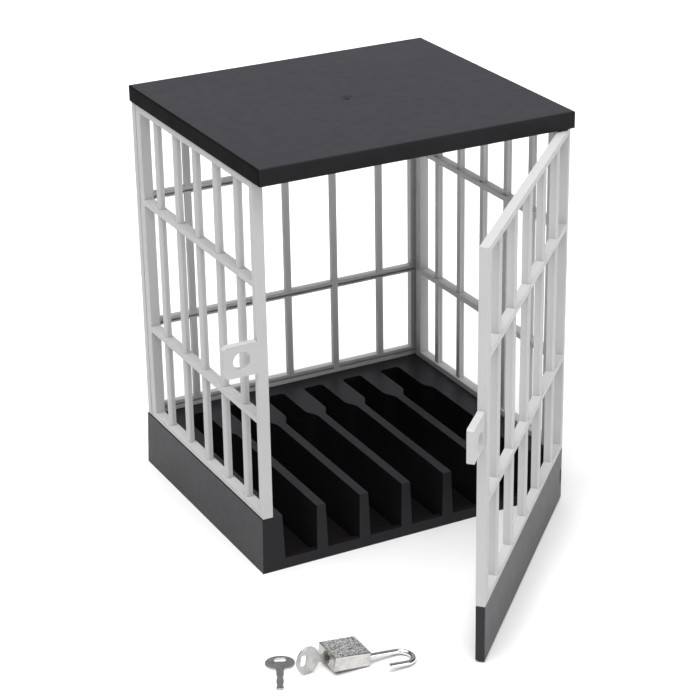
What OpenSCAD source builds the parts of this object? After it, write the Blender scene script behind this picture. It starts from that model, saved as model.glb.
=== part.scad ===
// Phone jail: a toy cell that locks phones away. A slotted base, three barred walls and a
// roof make the cell, a barred door hangs on two pins, and a small padlock with two keys
// lies in front of it, opened.
// The origin is the centre of the base's underside: +X right, +Y to the back, +Z up.
// The door is at the front, towards -Y.

/* [Base tray] */
// Width of the base at its top edge
base_w = 194; // [180:1:230]
// Depth of the base at its top edge
base_d = 162.5; // [150:0.5:200]
// Height of the base
base_h = 34; // [30:1:45]
// Spread of each side of the base from its top edge down to the floor
base_draft = 1; // [0.25:0.25:2]
// Rounding of the base's top edges
base_edge_r = 0.6; // [0.2:0.1:1]
// Number of phone slots
slot_count = 6; // [4:1:7]
// Land between the left side and the first slot
left_land = 12.4; // [11:0.2:16]
// Land between the last slot and the right side
right_land = 22; // [16:0.5:28]
// Land behind the slots
rear_land = 17; // [15:0.5:26]
// Width of a divider along its top
divider_w = 5.5; // [4.5:0.25:7]
// Width of a divider at the slot floor
divider_foot_w = 7.4; // [7:0.2:9]
// Width of a divider's head at the rear
head_w = 14; // [11:0.5:16]
// Length of a divider's head
head_len = 30; // [15:1:40]
// Length of the curved shoulder from the head to the divider
shoulder_len = 11; // [6:0.5:16]
// Thickness of the slot floor
slot_floor = 2.5; // [2:0.25:4]
// Height of the lip across the front of the slots
lip_h = 6.5; // [5:0.25:10]
// Thickness of that lip
lip_t = 3; // [2:0.25:5]
// Rounding of a slot's rear corners
slot_rear_r = 2.5; // [1:0.25:4]
// Wall left round the hollows under the base
core_wall = 2.4; // [2:0.2:3]
// Top left over the hollows under the base
core_top = 7; // [6.5:0.25:10]

/* [Barred walls] */
// Height of the whole cell
cage_h = 245; // [225:1:290]
// Thickness of a barred side wall
wall_t = 6.2; // [5.4:0.2:8]
// Thickness of the barred back wall
back_t = 4.6; // [4.4:0.2:7]
// Gap between the end of a side wall and the back wall
wall_seam = 1; // [0.2:0.1:1.6]
// Set-back of the walls from the edge of the base
wall_inset = 0.5; // [0.3:0.1:1.5]
// Bars in each wall and in the door
bar_count = 5; // [3:1:6]
// Width of a wall bar
bar_w = 4.4; // [3.6:0.1:5.2]
// Ledge of a wall's rails outside the round fronts of its bars
bar_ledge = 0.6; // [0.4:0.1:1.2]
// Ledge of a side wall's rails inside the flat backs of its bars
bar_back = 1.4; // [0.4:0.1:1.4]
// Set-in of a bar's flat back from its round front, at each side
bar_set = 0.2; // [0.1:0.05:0.4]
// Distance between the bars of a side wall
side_pitch = 26.8; // [20:0.2:28]
// Distance between the bars of the back wall
back_pitch = 32.5; // [26:0.5:34]
// Height of a side wall's two cross rails
rail_h = 3.4; // [2.6:0.1:6]
// Height of the back wall's two cross rails
back_rail_h = 4.4; // [3.8:0.1:7]
// Height of a side wall's bottom rail
sill_h = 3.6; // [3:0.1:6]
// Height of the back wall's bottom rail
back_sill_h = 5.8; // [4:0.1:8]
// Height of a wall's top rail
top_rail_h = 4.3; // [2.4:0.1:6]
// Underside of the lower cross rails above the floor
low_rail_z = 92.4; // [70:0.2:120]
// Underside of the upper cross rails above the floor
high_rail_z = 173.6; // [140:0.2:190]
// Width of a side wall's front post
front_post_w = 4.2; // [4:0.2:8]
// Width of a side wall's back post
back_post_w = 6; // [5:0.2:10]
// Width of a stile of the back wall
back_stile_w = 9; // [7.5:0.5:12]
// Height of the groove along the inner face of the back wall's rails
groove_h = 1.3; // [0.5:0.1:1.6]
// Depth of that groove
groove_depth = 2.2; // [0.4:0.1:2.6]
// Depth of that groove's middle below the top of its rail
groove_drop = 2.6; // [1.6:0.1:2.8]
// Plain land left in the groove at every second bar
groove_land = 4; // [2:0.5:14]
// Length of a locating tab on a wall
tab_len = 14; // [8:1:20]
// Thickness of a locating tab
tab_t = 2.4; // [1.8:0.2:3]
// Depth of a locating tab
tab_h = 4.5; // [3:0.25:5]
// Distance between the two tabs of a side wall
side_tab_pitch = 78; // [50:1:110]
// Distance between the two tabs of the back wall
back_tab_pitch = 97; // [60:1:140]
// Clearance round a tab in its slot
tab_gap = 0.15; // [0.1:0.05:0.3]

/* [Roof] */
// Thickness of the roof
roof_t = 10.2; // [8.6:0.1:14]
// Overhang of the roof past each side of the base's top edge
roof_side = 1; // [0.5:0.25:3]
// Overhang of the roof past the front of the base's top edge
roof_front = 12; // [11.5:0.25:18]
// Set-back of the roof from the base's back top edge
roof_back = 0.25; // [0:0.05:0.3]
// Rounding of the roof's edges
roof_edge_r = 1.5; // [0.6:0.1:2]
// Skin over the hollow under the roof
roof_skin = 3; // [2.5:0.25:3.5]
// Rim between the wall and the hollow under the roof
roof_rim = 5; // [3:0.5:10]
// Thickness of the ribs under the roof
roof_rib_t = 2; // [1.5:0.25:3]
// Radius of the moulding gate's dish in the roof's top
gate_r = 4; // [2:0.2:5]
// Depth of that dish
gate_depth = 0.8; // [0.3:0.1:1]
// Radius of the gate's nub
gate_nub_r = 1; // [0.5:0.1:1.2]
// Drop of the nub's top below the roof's top
gate_nub_drop = 0.2; // [0.1:0.05:0.25]

/* [Door] */
// Angle that the door stands open, as photographed
door_open = 45.2; // [0:0.1:170]
// Reach of the door past the hinge side of the base's top edge
door_reach = 2.25; // [1:0.25:3]
// Set-back of the door's free edge from the same reach at its own side
door_set_back = 2.4; // [0:0.2:4]
// Thickness of the door
door_t = 5.2; // [5:0.2:8]
// Gap between the closed door and the foot of the base
door_gap = 0.4; // [0.3:0.1:1]
// Gap between the door and the floor
door_floor_gap = 1; // [0.5:0.25:3]
// Gap between the door and the roof
door_top_gap = 0.6; // [0.4:0.1:1.5]
// Width of the door's two stiles
stile_w = 6; // [4.6:0.2:9]
// Height of the door's rails
door_rail_h = 3.5; // [3:0.25:7]
// Width of a door bar
door_bar_w = 3.4; // [2.8:0.1:5]
// Distance between the bars of the door
door_pitch = 34.4; // [26:0.2:36]
// Ledge of the door's rails outside the round fronts of its bars
door_bar_ledge = 0.2; // [0.2:0.1:1.2]
// Number of hollows in the back of the kick panel
kick_core_count = 6; // [4:1:9]
// Wall left round those hollows
kick_wall = 2.4; // [2:0.2:3]
// Length of a tongue that joins the grille to the kick panel
tongue_len = 16; // [10:1:24]
// Distance between the tongues
tongue_pitch = 65.6; // [40:0.2:75]
// Thickness of that tongue
tongue_t = 2.4; // [1.8:0.2:3]
// Depth of that tongue
tongue_h = 5; // [3:0.5:7]

/* [Hasp lugs] */
// Height of the hole through the lugs above the floor
lug_z = 133.8; // [120:0.2:150]
// Height of a lug
lug_h = 19.2; // [16:0.2:26]
// Thickness of a lug
lug_t = 4; // [3:0.2:4.6]
// Reach of the wall's lug past the side wall
wall_lug_reach = 20; // [18:0.5:26]
// Reach of the door's lug past the free edge of the door
door_lug_reach = 22.2; // [20:0.2:30]
// Distance of the lug holes from the side wall
lug_hole_out = 9.4; // [8.5:0.2:11]
// Radius of the lug holes
lug_hole_r = 5.2; // [4:0.1:6]
// Chamfer at the outer corners of the wall's lug
wall_lug_chamfer = 1.8; // [1:0.2:4]
// Chamfer at the outer corners of the door's lug
door_lug_chamfer = 0.8; // [0.4:0.2:4]
// Rise of the door's lug above the wall's lug
door_lug_rise = 3; // [0:0.2:3]

/* [Hinge] */
// Radius of a hinge pin
pin_r = 1.25; // [1:0.05:1.4]
// Clearance round a pin where it is held
pin_hold_gap = 0.02; // [0.01:0.01:0.03]
// Clearance round a pin where the door turns on it
pin_turn_gap = 0.06; // [0.04:0.01:0.1]
// Room past the blind end of a pin
pin_end_gap = 0.2; // [0.1:0.1:0.5]
// Depth of the upper pin in the roof
pin_in_roof = 6; // [4:0.5:7]
// Depth of the upper pin in the door
pin_in_door = 9; // [6:0.5:14]
// Height of the base's hinge knuckle
knuckle_h = 8; // [6:0.5:12]
// Underside of the knuckle above the floor
knuckle_z = 12; // [9:0.5:16]
// Gap above and below the knuckle
knuckle_gap = 0.4; // [0.2:0.1:0.8]
// Radius of the knuckle
knuckle_r = 2.6; // [2.4:0.1:3]
// Reach of the knuckle's neck to the left of the pin
knuckle_neck = 2.4; // [1.6:0.1:2.4]
// Room beside the knuckle in the door's notch
notch_gap = 1.2; // [0.8:0.1:2]
// Reach of the lower pin past the knuckle at each end
pin_past_knuckle = 8; // [5:0.5:8]

/* [Padlock] */
// Place of the padlock's middle, right of the origin
padlock_x = -102.5; // [-120:0.5:-102.5]
// Place of the padlock's middle, back of the origin
padlock_y = -188; // [-240:1:-184]
// Length of the padlock's body along its shackle
lock_len = 21.5; // [21.5:0.5:28]
// Width of the padlock's body
lock_w = 19.5; // [19.5:0.5:24]
// Thickness of the padlock's body
lock_t = 8.5; // [8.5:0.25:10]
// Rounding of the padlock's edges
lock_edge_r = 1; // [0.4:0.1:1.2]
// Plain border round the sunk panel of a large face
panel_border = 2; // [1.6:0.1:3]
// Depth of that sunk panel
panel_depth = 0.2; // [0.1:0.05:0.3]
// Tilt of the padlock, held up at its key end by the key
lock_tilt = 6.8; // [6.5:0.1:6.8]
// Height of the padlock's low edge above the floor
lock_floor_gap = 0.15; // [0.15:0.05:0.5]
// Radius of the shackle
shackle_r = 1.45; // [1.2:0.05:1.5]
// Distance between the shackle's legs
shackle_span = 13; // [12.5:0.25:13]
// Clear height under the closed shackle's bow
shackle_clear = 10.5; // [8:0.5:10.5]
// Travel of the shackle out of the body
shackle_travel = 11; // [9:0.5:11]
// Length of the long leg still held when the shackle is out
leg_held = 4.5; // [4:0.25:5]
// Length of the short leg in its hole when closed
short_leg_in = 5.5; // [5:0.25:6]
// Room past the short leg's end when closed
short_leg_gap = 0.5; // [0.3:0.1:0.8]
// Clearance round the shackle's legs
leg_gap = 0.05; // [0.03:0.01:0.08]
// Length of the cap under the long leg
cap_len = 1.5; // [1.2:0.1:1.5]
// Radius of the spring's seat in that cap
cap_cup_r = 0.87; // [0.6:0.05:1]
// Depth of that seat
cap_cup_depth = 0.75; // [0.4:0.05:0.9]
// Length of the shackle's spring when it is pressed flat
spring_solid = 1.5; // [1.2:0.1:1.5]
// Radius of the wire of the shackle's spring
shackle_wire_r = 0.2; // [0.15:0.05:0.25]
// Clearance round the shackle's spring
shackle_coil_gap = 0.2; // [0.15:0.05:0.3]
// Turns of the shackle's spring
shackle_coils = 8; // [5:1:9]
// Radius of the plug
plug_r = 3.4; // [3.2:0.05:3.4]
// Stand of the plug's face past the body
plug_proud = 0.15; // [0.05:0.05:0.3]
// Gap between the plug's inner end and the latch
plug_end_gap = 0.4; // [0.3:0.1:0.5]
// Room past the plug's inner end
plug_room = 0.3; // [0.2:0.05:0.35]
// Clearance round the plug
plug_gap = 0.05; // [0.03:0.01:0.08]
// Depth of the retaining groove round the plug
plug_groove_depth = 0.55; // [0.4:0.05:0.6]
// Width of that groove
plug_groove_w = 1; // [0.9:0.1:1.2]
// Distance of that groove from the plug's inner end
plug_groove_in = 2.6; // [2.2:0.1:2.8]
// Radius of the retaining pin
retain_r = 0.4; // [0.3:0.05:0.4]
// Gap between the retaining pin and the groove's floor
retain_gap = 0.1; // [0.05:0.05:0.15]
// Clearance round the retaining pin in the body
retain_hold_gap = 0.02; // [0.01:0.01:0.03]
// Set-in of the retaining pin from the sunk panel
retain_sink = 0.2; // [0.1:0.1:0.4]
// Throw of the plug's cam pin
cam_r = 1.2; // [1:0.05:1.2]
// Radius of the plug's cam pin
cam_pin_r = 0.5; // [0.4:0.05:0.5]
// Set-back of the cam pin's end in the latch
cam_pin_set = 0.2; // [0.1:0.05:0.4]
// Width of the latch along the shackle
latch_w = 1.8; // [1.4:0.1:2]
// Height of the latch
latch_h = 4; // [3.6:0.1:4]
// Depth of the latch's middle below the body's shackle end
latch_depth = 3.25; // [3:0.05:3.5]
// Reach of the latch past the plug's middle, away from its nose
latch_back = 1.6; // [1.4:0.1:1.8]
// Width of the window in the latch for the cam pin
latch_window_w = 1.7; // [1.5:0.05:1.8]
// Room above and below the cam pin in that window
latch_window_gap = 0.15; // [0.1:0.05:0.2]
// Room round the latch in the short leg's notch
latch_notch_gap = 0.15; // [0.1:0.05:0.2]
// Wall between the latch's room and the long leg's bore
latch_room_wall = 0.2; // [0.15:0.05:0.3]
// Clearance round the latch
latch_gap = 0.1; // [0.05:0.05:0.15]
// Reach of the latch into the short leg's notch
latch_bite = 0.85; // [0.6:0.05:0.9]
// Radius of the latch's spring at the middle of its wire
latch_coil_r = 0.6; // [0.4:0.05:0.7]
// Radius of the wire of the latch's spring
latch_wire_r = 0.15; // [0.1:0.05:0.2]
// Turns of the latch's spring
latch_coils = 4; // [3:1:5]
// Number of wafers in the plug
wafer_count = 5; // [3:1:6]
// Thickness of a wafer
wafer_t = 0.55; // [0.4:0.05:0.6]
// Distance of the first wafer from the plug's face
wafer_first = 2.4; // [2:0.1:3]
// Distance of the last wafer from the tip of the blade
wafer_last = 2; // [1.8:0.1:3]
// Metal beside the blade in a wafer
wafer_side = 0.75; // [0.6:0.05:0.9]
// Metal above and below the blade in a wafer
wafer_rim = 0.7; // [0.5:0.05:0.7]
// Clearance round a wafer in its slot
wafer_gap = 0.1; // [0.06:0.02:0.14]

/* [Keys] */
// Length of a key's bow across the blade
bow_w = 16; // [14:0.5:16]
// Length of a key's bow along the blade
bow_len = 13.5; // [12:0.5:15]
// Thickness of a key
key_t = 0.9; // [0.7:0.05:0.95]
// Width of a key's blade
blade_w = 4; // [3.6:0.1:4.1]
// Length of a key's blade in the plug
blade_in = 15; // [12:0.5:15]
// Length of a key's neck outside the plug
key_neck = 4; // [3:0.25:4.5]
// Depth of the cuts along a key's blade
blade_cut = 0.45; // [0.2:0.05:0.6]
// Width of the blade's tip
tip_w = 1.3; // [0.8:0.1:2]
// Length of the blade's tapered tip
tip_len = 0.9; // [0.6:0.1:1.5]
// Width of the hole in a key's bow
ring_hole_w = 6.6; // [4:0.2:8]
// Height of that hole
ring_hole_h = 3.2; // [2:0.2:4]
// Rounding of that hole's corners
ring_hole_r = 1.4; // [0.6:0.1:1.5]
// Distance of that hole from the middle of the bow
ring_hole_out = 2.7; // [2:0.1:3]
// Room past the blade's tip in the plug
blade_end_gap = 0.3; // [0.2:0.1:0.6]
// Clearance round a key's blade
blade_gap = 0.1; // [0.06:0.02:0.15]
// Place of the spare key's bow, right of the origin
spare_x = -132; // [-170:1:-132]
// Place of the spare key's bow, back of the origin
spare_y = -172; // [-190:1:-150]
// Turn of the spare key, 0 with its blade towards -Y
spare_turn = -26; // [-60:1:-20]

/* [Hidden] */
$fn = 48;

// A small overlap that lets cuts run clear of a face
eps = 0.01;
// How far cuts run past the solid
past = 1;

// Colours
black_plastic = [0.17, 0.17, 0.18];
grey_plastic = [0.78, 0.78, 0.79];
nickel = [0.75, 0.74, 0.71];
steel = [0.6, 0.6, 0.62];
brass = [0.75, 0.62, 0.35];

// Cell
wall_z0 = base_h;
wall_z1 = cage_h - roof_t;
wall_x = base_w / 2 - wall_inset;
back_y = base_d / 2 - wall_inset;
back_inner_y = back_y - back_t;
side_end_y = back_inner_y - wall_seam;
front_y = -base_d / 2;
wall_mid_x = wall_x - wall_t / 2;
back_mid_y = back_y - back_t / 2;
side_mid_y = (front_y + side_end_y) / 2;
side_len = side_end_y - front_y;

// Slots
slot_w = (base_w - left_land - right_land - (slot_count - 1) * divider_w) / slot_count;
slot_pitch = slot_w + divider_w;
slot_first_x = -base_w / 2 + left_land + slot_w / 2;
slot_rear_y = base_d / 2 - rear_land;
head_front_y = slot_rear_y - head_len;
neck_y = head_front_y - shoulder_len;
head_step = (head_w - divider_w) / 2;
foot_step = (divider_foot_w - divider_w) / 2;

// Door, with its axis at the hinge
door_w = base_w + 2 * door_reach - door_set_back;
hinge_x = base_w / 2 + door_reach - door_t / 2;
hinge_y = front_y - base_draft - door_gap - door_t / 2;
door_free_x = -(door_w - door_t / 2);
door_top = wall_z1 - door_top_gap;
kick_top = base_h;
door_mid_x = -(door_w - door_t) / 2;
lug_hole_x = -wall_x - lug_hole_out;

// Padlock, with its middle at the origin and its shackle towards +X
lock_end = lock_len / 2;
lock_mid_z = lock_t / 2;
leg_y = shackle_span / 2;
bow_closed_x = lock_end + shackle_clear + shackle_r - shackle_span / 2;
leg_end_x = lock_end - leg_held;
leg_bore_x = leg_end_x - shackle_travel - cap_len - spring_solid;
latch_x = lock_end - latch_depth;
plug_end_x = latch_x - latch_w / 2 - plug_end_gap;
plug_start_x = -lock_end - plug_proud;
cam_end_x = latch_x + latch_w / 2 - cam_pin_set;
latch_nose_y = leg_y - shackle_r + latch_bite;
latch_room_y = -leg_y + shackle_r + leg_gap + latch_room_wall;
bow_x = plug_start_x - key_neck - bow_len / 2;
retain_x = plug_end_x - plug_groove_in;
groove_r = plug_r - plug_groove_depth;
retain_y = groove_r + retain_r + retain_gap;
wafer_half_w = key_t / 2 + blade_gap + wafer_side;
wafer_half_h = blade_w / 2 + blade_gap + wafer_rim;
wafer_pitch = (blade_in - wafer_first - wafer_last) / (wafer_count - 1);
wafer_places = [for (i = [0:wafer_count - 1]) plug_start_x + wafer_first + i * wafer_pitch];

// Points along an arc of radius r about [x, y]
function arc(x, y, r, from, to, n = 6) =
  [for (i = [0:n]) let (a = from + (to - from) * i / n) [x + r * cos(a), y + r * sin(a)]];

// Evenly spaced places about zero
function spread(n, pitch) = [for (i = [0:n - 1]) (i - (n - 1) / 2) * pitch];

// Rectangle with round corners, about its middle
module round_rect(w, h, r) {
  polygon(concat(
    arc(w / 2 - r, h / 2 - r, r, 0, 90),
    arc(-w / 2 + r, h / 2 - r, r, 90, 180),
    arc(-w / 2 + r, -h / 2 + r, r, 180, 270),
    arc(w / 2 - r, -h / 2 + r, r, 270, 360)
  ));
}

// Outline of one face of a block that spreads towards the floor
module drafted_outline(w, h, draft, r) {
  polygon(concat(
    [[-w / 2 - draft, 0], [w / 2 + draft, 0]],
    arc(w / 2 - r, h - r, r, 0, 90, 4),
    arc(-w / 2 + r, h - r, r, 90, 180, 4)
  ));
}

// Solid whose side view is one outline and whose front view is another
module drafted_block(w, d, h, draft, r) {
  intersection() {
    translate([0, d, 0]) rotate([90, 0, 0]) linear_extrude(2 * d) drafted_outline(w, h, draft, r);
    translate([-w, 0, 0]) rotate([90, 0, 90]) linear_extrude(2 * w) drafted_outline(d, h, draft, r);
  }
}

// Box with all its edges rounded, standing on the floor about the Z axis
module round_box(w, d, h, r) {
  intersection() {
    linear_extrude(h) round_rect(w, d, r);
    translate([0, d / 2, h / 2]) rotate([90, 0, 0]) linear_extrude(d) round_rect(w, h, r);
    translate([-w / 2, 0, h / 2]) rotate([90, 0, 90]) linear_extrude(w) round_rect(d, h, r);
  }
}

// Half the width of a slot at height z
function slot_half(z) = slot_w / 2 - foot_step * (base_h - z) / (base_h - slot_floor);

// Stations along a slot: [y, how much each wall has closed in]
function slot_stations(from) = concat(
  [[from, 0]],
  [for (i = [0:8]) [neck_y + shoulder_len * i / 8, head_step * (1 - cos(22.5 * i)) / 2]],
  [for (a = [0:22.5:90])
    [slot_rear_y - slot_rear_r * (1 - sin(a)), head_step + slot_rear_r * (1 - cos(a))]]
);

// Loft through stations with walls that lean out from the slot's floor at z0
module slot_loft(stations, z0) {
  z1 = base_h + past;
  n = len(stations);
  points = [for (s = stations) each [
    [-slot_half(z0) + s[1], s[0], z0],
    [slot_half(z0) - s[1], s[0], z0],
    [slot_half(z1) - s[1], s[0], z1],
    [-slot_half(z1) + s[1], s[0], z1]
  ]];
  sides = [for (i = [0:n - 2], k = [0:3])
    [4 * i + k, 4 * i + (k + 1) % 4, 4 * i + 4 + (k + 1) % 4, 4 * i + 4 + k]];
  polyhedron(points, concat([[3, 2, 1, 0]], sides, [[4 * n - 4, 4 * n - 3, 4 * n - 2, 4 * n - 1]]));
}

// Phone slot, open at the front of the base
module phone_slot() {
  slot_loft(slot_stations(front_y - base_draft - past), slot_floor);
}

// Lip across the front of the slots, its face in line with the base's front
module front_lip() {
  from_x = -base_w / 2 + left_land / 2;
  to_x = base_w / 2 - right_land / 2;
  translate([from_x, 0, 0])
    rotate([90, 0, 90])
      linear_extrude(to_x - from_x)
        polygon([
          [front_y - base_draft, 0],
          [front_y + lip_t, 0],
          [front_y + lip_t, lip_h],
          [front_y - base_draft * (1 - lip_h / base_h), lip_h]
        ]);
}

// Slots in the base's top or the roof's underside for one wall's tabs
module tab_slots(places, along_x, z, up) {
  size_x = (along_x ? tab_len : tab_t) + 2 * tab_gap;
  size_y = (along_x ? tab_t : tab_len) + 2 * tab_gap;
  depth = tab_h + tab_gap;
  for (p = places)
    translate([p[0] - size_x / 2, p[1] - size_y / 2, up ? z - past : z - depth])
      cube([size_x, size_y, depth + past]);
}

// Where the tabs of each wall are
side_tabs = [for (s = [-1, 1], y = spread(2, side_tab_pitch)) [s * wall_mid_x, side_mid_y + y]];
back_tabs = [for (x = spread(2, back_tab_pitch)) [x, back_mid_y]];

// Hollows that the mould leaves under the base's lands
module base_cores() {
  h = base_h - core_top + past;
  core_front_y = front_y + 2 * core_wall + lip_t;
  core_len = base_d / 2 - core_wall - core_front_y;
  side_x = base_w / 2 - core_wall;
  translate([-side_x, core_front_y, -past])
    cube([left_land - 2 * core_wall, core_len, h]);
  translate([base_w / 2 - right_land + core_wall, core_front_y, -past])
    cube([right_land - 2 * core_wall, core_len, h]);
  translate([-side_x, slot_rear_y + core_wall, -past])
    cube([2 * side_x, rear_land - 2 * core_wall, h]);
}

// Knuckle on the base's front that holds the lower hinge pin
module base_knuckle() {
  neck_from = hinge_x - knuckle_neck;
  neck_to = base_w / 2 - base_edge_r;
  translate([hinge_x, hinge_y, knuckle_z]) cylinder(h = knuckle_h, r = knuckle_r);
  translate([neck_from, hinge_y, knuckle_z])
    cube([neck_to - neck_from, front_y + lip_t - hinge_y, knuckle_h]);
}

// Slotted base moulded in black plastic
module base_tray() {
  color(black_plastic)
    difference() {
      union() {
        difference() {
          drafted_block(base_w, base_d, base_h, base_draft, base_edge_r);
          for (i = [0:slot_count - 1])
            translate([slot_first_x + i * slot_pitch, 0, 0]) phone_slot();
        }
        front_lip();
        base_knuckle();
      }
      base_cores();
      tab_slots(side_tabs, false, base_h, false);
      tab_slots(back_tabs, true, base_h, false);
      translate([hinge_x, hinge_y, knuckle_z - past])
        cylinder(h = knuckle_h + 2 * past, r = pin_r + pin_hold_gap);
    }
}

// Hollow under the roof, with ribs left across it
module roof_core() {
  half_x = wall_x - wall_t - roof_rim;
  y0 = front_y + roof_rim;
  y1 = back_inner_y - roof_rim;
  cell_x = (2 * half_x - 2 * roof_rib_t) / 3;
  cell_y = (y1 - y0 - roof_rib_t) / 2;
  for (i = [0:2], j = [0:1])
    translate([-half_x + i * (cell_x + roof_rib_t), y0 + j * (cell_y + roof_rib_t), wall_z1 - past])
      cube([cell_x, cell_y, roof_t - roof_skin + past]);
}

// Roof slab in black plastic with a gate mark in the middle of its top
module roof() {
  w = base_w + 2 * roof_side;
  d = base_d + roof_front - roof_back;
  y_mid = (base_d / 2 - roof_back) - d / 2;
  dish_r = (gate_r * gate_r + gate_depth * gate_depth) / (2 * gate_depth);
  color(black_plastic)
    difference() {
      union() {
        difference() {
          translate([0, y_mid, wall_z1]) round_box(w, d, roof_t, roof_edge_r);
          translate([0, y_mid, cage_h - gate_depth + dish_r]) sphere(dish_r, $fn = 96);
        }
        translate([0, y_mid, cage_h - 2 * gate_depth])
          cylinder(h = 2 * gate_depth - gate_nub_drop, r = gate_nub_r);
      }
      roof_core();
      tab_slots(side_tabs, false, wall_z1, true);
      tab_slots(back_tabs, true, wall_z1, true);
      translate([hinge_x, hinge_y, wall_z1 - past])
        cylinder(h = pin_in_roof + pin_end_gap + past, r = pin_r + pin_hold_gap);
    }
}

// Bar with its flat back on the plane y = 0 and its round front towards +Y
module bar(w, depth, h) {
  front = depth - w / 2;
  intersection() {
    translate([0, front, 0]) cylinder(h = h, d = w);
    translate([-w, front, 0]) cube([2 * w, w, h]);
  }
  translate([bar_set - w / 2, 0, 0]) cube([w - 2 * bar_set, front + bar_set, h]);
}

// Bar of a wall, from its bottom rail to its top rail
module wall_bar(t) {
  translate([0, 0, wall_z0 + sill_h / 2])
    bar(bar_w, t - bar_ledge, wall_z1 - wall_z0 - (sill_h + top_rail_h) / 2);
}

// Rails across a side wall and across the back wall: [underside, height] each
top_rail = [wall_z1 - top_rail_h, top_rail_h];
side_rails = [[wall_z0, sill_h], [low_rail_z, rail_h], [high_rail_z, rail_h], top_rail];
back_rails = [[wall_z0, back_sill_h], [low_rail_z, back_rail_h], [high_rail_z, back_rail_h]];

// Locating tabs above and below a wall
module wall_tabs(places, along_x) {
  size_x = along_x ? tab_len : tab_t;
  size_y = along_x ? tab_t : tab_len;
  for (p = places, z = [wall_z0 - tab_h, wall_z1 - eps])
    translate([p[0] - size_x / 2, p[1] - size_y / 2, z]) cube([size_x, size_y, tab_h + eps]);
}

// Plate of a hasp lug in the XZ plane, from x = 0 out to -reach, with its hole on the X axis
module hasp_lug(reach, hole_out, chamfer, rise) {
  low = rise - lug_h / 2;
  high = rise + lug_h / 2;
  difference() {
    translate([0, lug_t, 0])
      rotate([90, 0, 0])
        linear_extrude(lug_t)
          polygon([
            [eps, low],
            [-reach + chamfer, low],
            [-reach, low + chamfer],
            [-reach, high - chamfer],
            [-reach + chamfer, high],
            [eps, high]
          ]);
    translate([-hole_out, lug_t + past, 0])
      rotate([90, 0, 0]) cylinder(h = lug_t + 2 * past, r = lug_hole_r);
  }
}

// Barred side wall on the left: two posts, four rails and the bars
module side_panel() {
  translate([-wall_x, front_y, wall_z0]) cube([wall_t, front_post_w, wall_z1 - wall_z0]);
  translate([-wall_x, side_end_y - back_post_w, wall_z0])
    cube([wall_t, back_post_w, wall_z1 - wall_z0]);
  for (r = side_rails)
    translate([-wall_x, front_y, r[0]]) cube([wall_t, side_len, r[1]]);
  for (y = spread(bar_count, side_pitch))
    translate([wall_t - bar_back - wall_x, side_mid_y + y, 0]) rotate([0, 0, 90])
      wall_bar(wall_t - bar_back);
  wall_tabs([for (y = spread(2, side_tab_pitch)) [-wall_mid_x, side_mid_y + y]], false);
}

// Left wall, which carries the fixed hasp lug
module left_wall() {
  color(grey_plastic)
    union() {
      side_panel();
      translate([-wall_x, front_y, lug_z]) hasp_lug(wall_lug_reach, lug_hole_out, wall_lug_chamfer, 0);
    }
}

// Right wall
module right_wall() {
  color(grey_plastic) mirror([1, 0, 0]) side_panel();
}

// Back wall, with a groove along the inner face of its rails
module back_wall() {
  bar_places = spread(bar_count, back_pitch);
  land_places = [for (i = [1:2:bar_count - 1]) bar_places[i]];
  groove_len = 2 * (wall_x - wall_t);
  color(grey_plastic)
    difference() {
      union() {
        for (r = concat(back_rails, [top_rail]))
          translate([-wall_x, back_inner_y, r[0]]) cube([2 * wall_x, back_t, r[1]]);
        for (s = [-1, 1])
          translate([s * (wall_x - back_stile_w / 2) - back_stile_w / 2, back_inner_y, wall_z0])
            cube([back_stile_w, back_t, wall_z1 - wall_z0]);
        for (x = bar_places)
          translate([x, back_inner_y, 0]) wall_bar(back_t);
        wall_tabs(back_tabs, true);
      }
      difference() {
        for (r = back_rails)
          translate([-groove_len / 2, back_inner_y - past, r[0] + r[1] - groove_drop - groove_h / 2])
            cube([groove_len, groove_depth + past, groove_h]);
        for (x = land_places)
          translate([x - groove_land / 2, back_inner_y - 2 * past, 0])
            cube([groove_land, groove_depth + 4 * past, cage_h]);
      }
    }
}

// Places its children, drawn with the hinge axis at the origin, on the open door
module on_door() {
  translate([hinge_x, hinge_y, 0]) rotate([0, 0, door_open]) children();
}

// Barred upper part of the door, with its lug at the free edge
module door_grille() {
  h = door_top - kick_top;
  rail_places = [kick_top, low_rail_z, high_rail_z, door_top - door_rail_h];
  color(grey_plastic)
    on_door()
      difference() {
        union() {
          translate([0, 0, kick_top]) cylinder(h = h, d = door_t);
          translate([door_t / 2 - stile_w, -door_t / 2, kick_top])
            cube([stile_w - door_t / 2, door_t, h]);
          translate([door_free_x, -door_t / 2, kick_top]) cube([stile_w, door_t, h]);
          for (z = rail_places)
            translate([door_free_x, -door_t / 2, z]) cube([-door_free_x, door_t, door_rail_h]);
          for (x = spread(bar_count, door_pitch))
            translate([door_mid_x + x, door_t / 2, kick_top + door_rail_h / 2])
              rotate([0, 0, 180]) bar(door_bar_w, door_t - door_bar_ledge, h - door_rail_h);
          translate([door_free_x, door_t / 2 - lug_t, lug_z])
            hasp_lug(door_lug_reach, door_free_x + hinge_x - lug_hole_x, door_lug_chamfer, door_lug_rise);
          for (x = spread(3, tongue_pitch))
            translate([door_mid_x + x - tongue_len / 2, -tongue_t / 2, kick_top - tongue_h])
              cube([tongue_len, tongue_t, tongue_h + eps]);
        }
        translate([0, 0, door_top - pin_in_door - pin_end_gap])
          cylinder(h = pin_in_door + pin_end_gap + past, r = pin_r + pin_turn_gap);
      }
}

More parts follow.
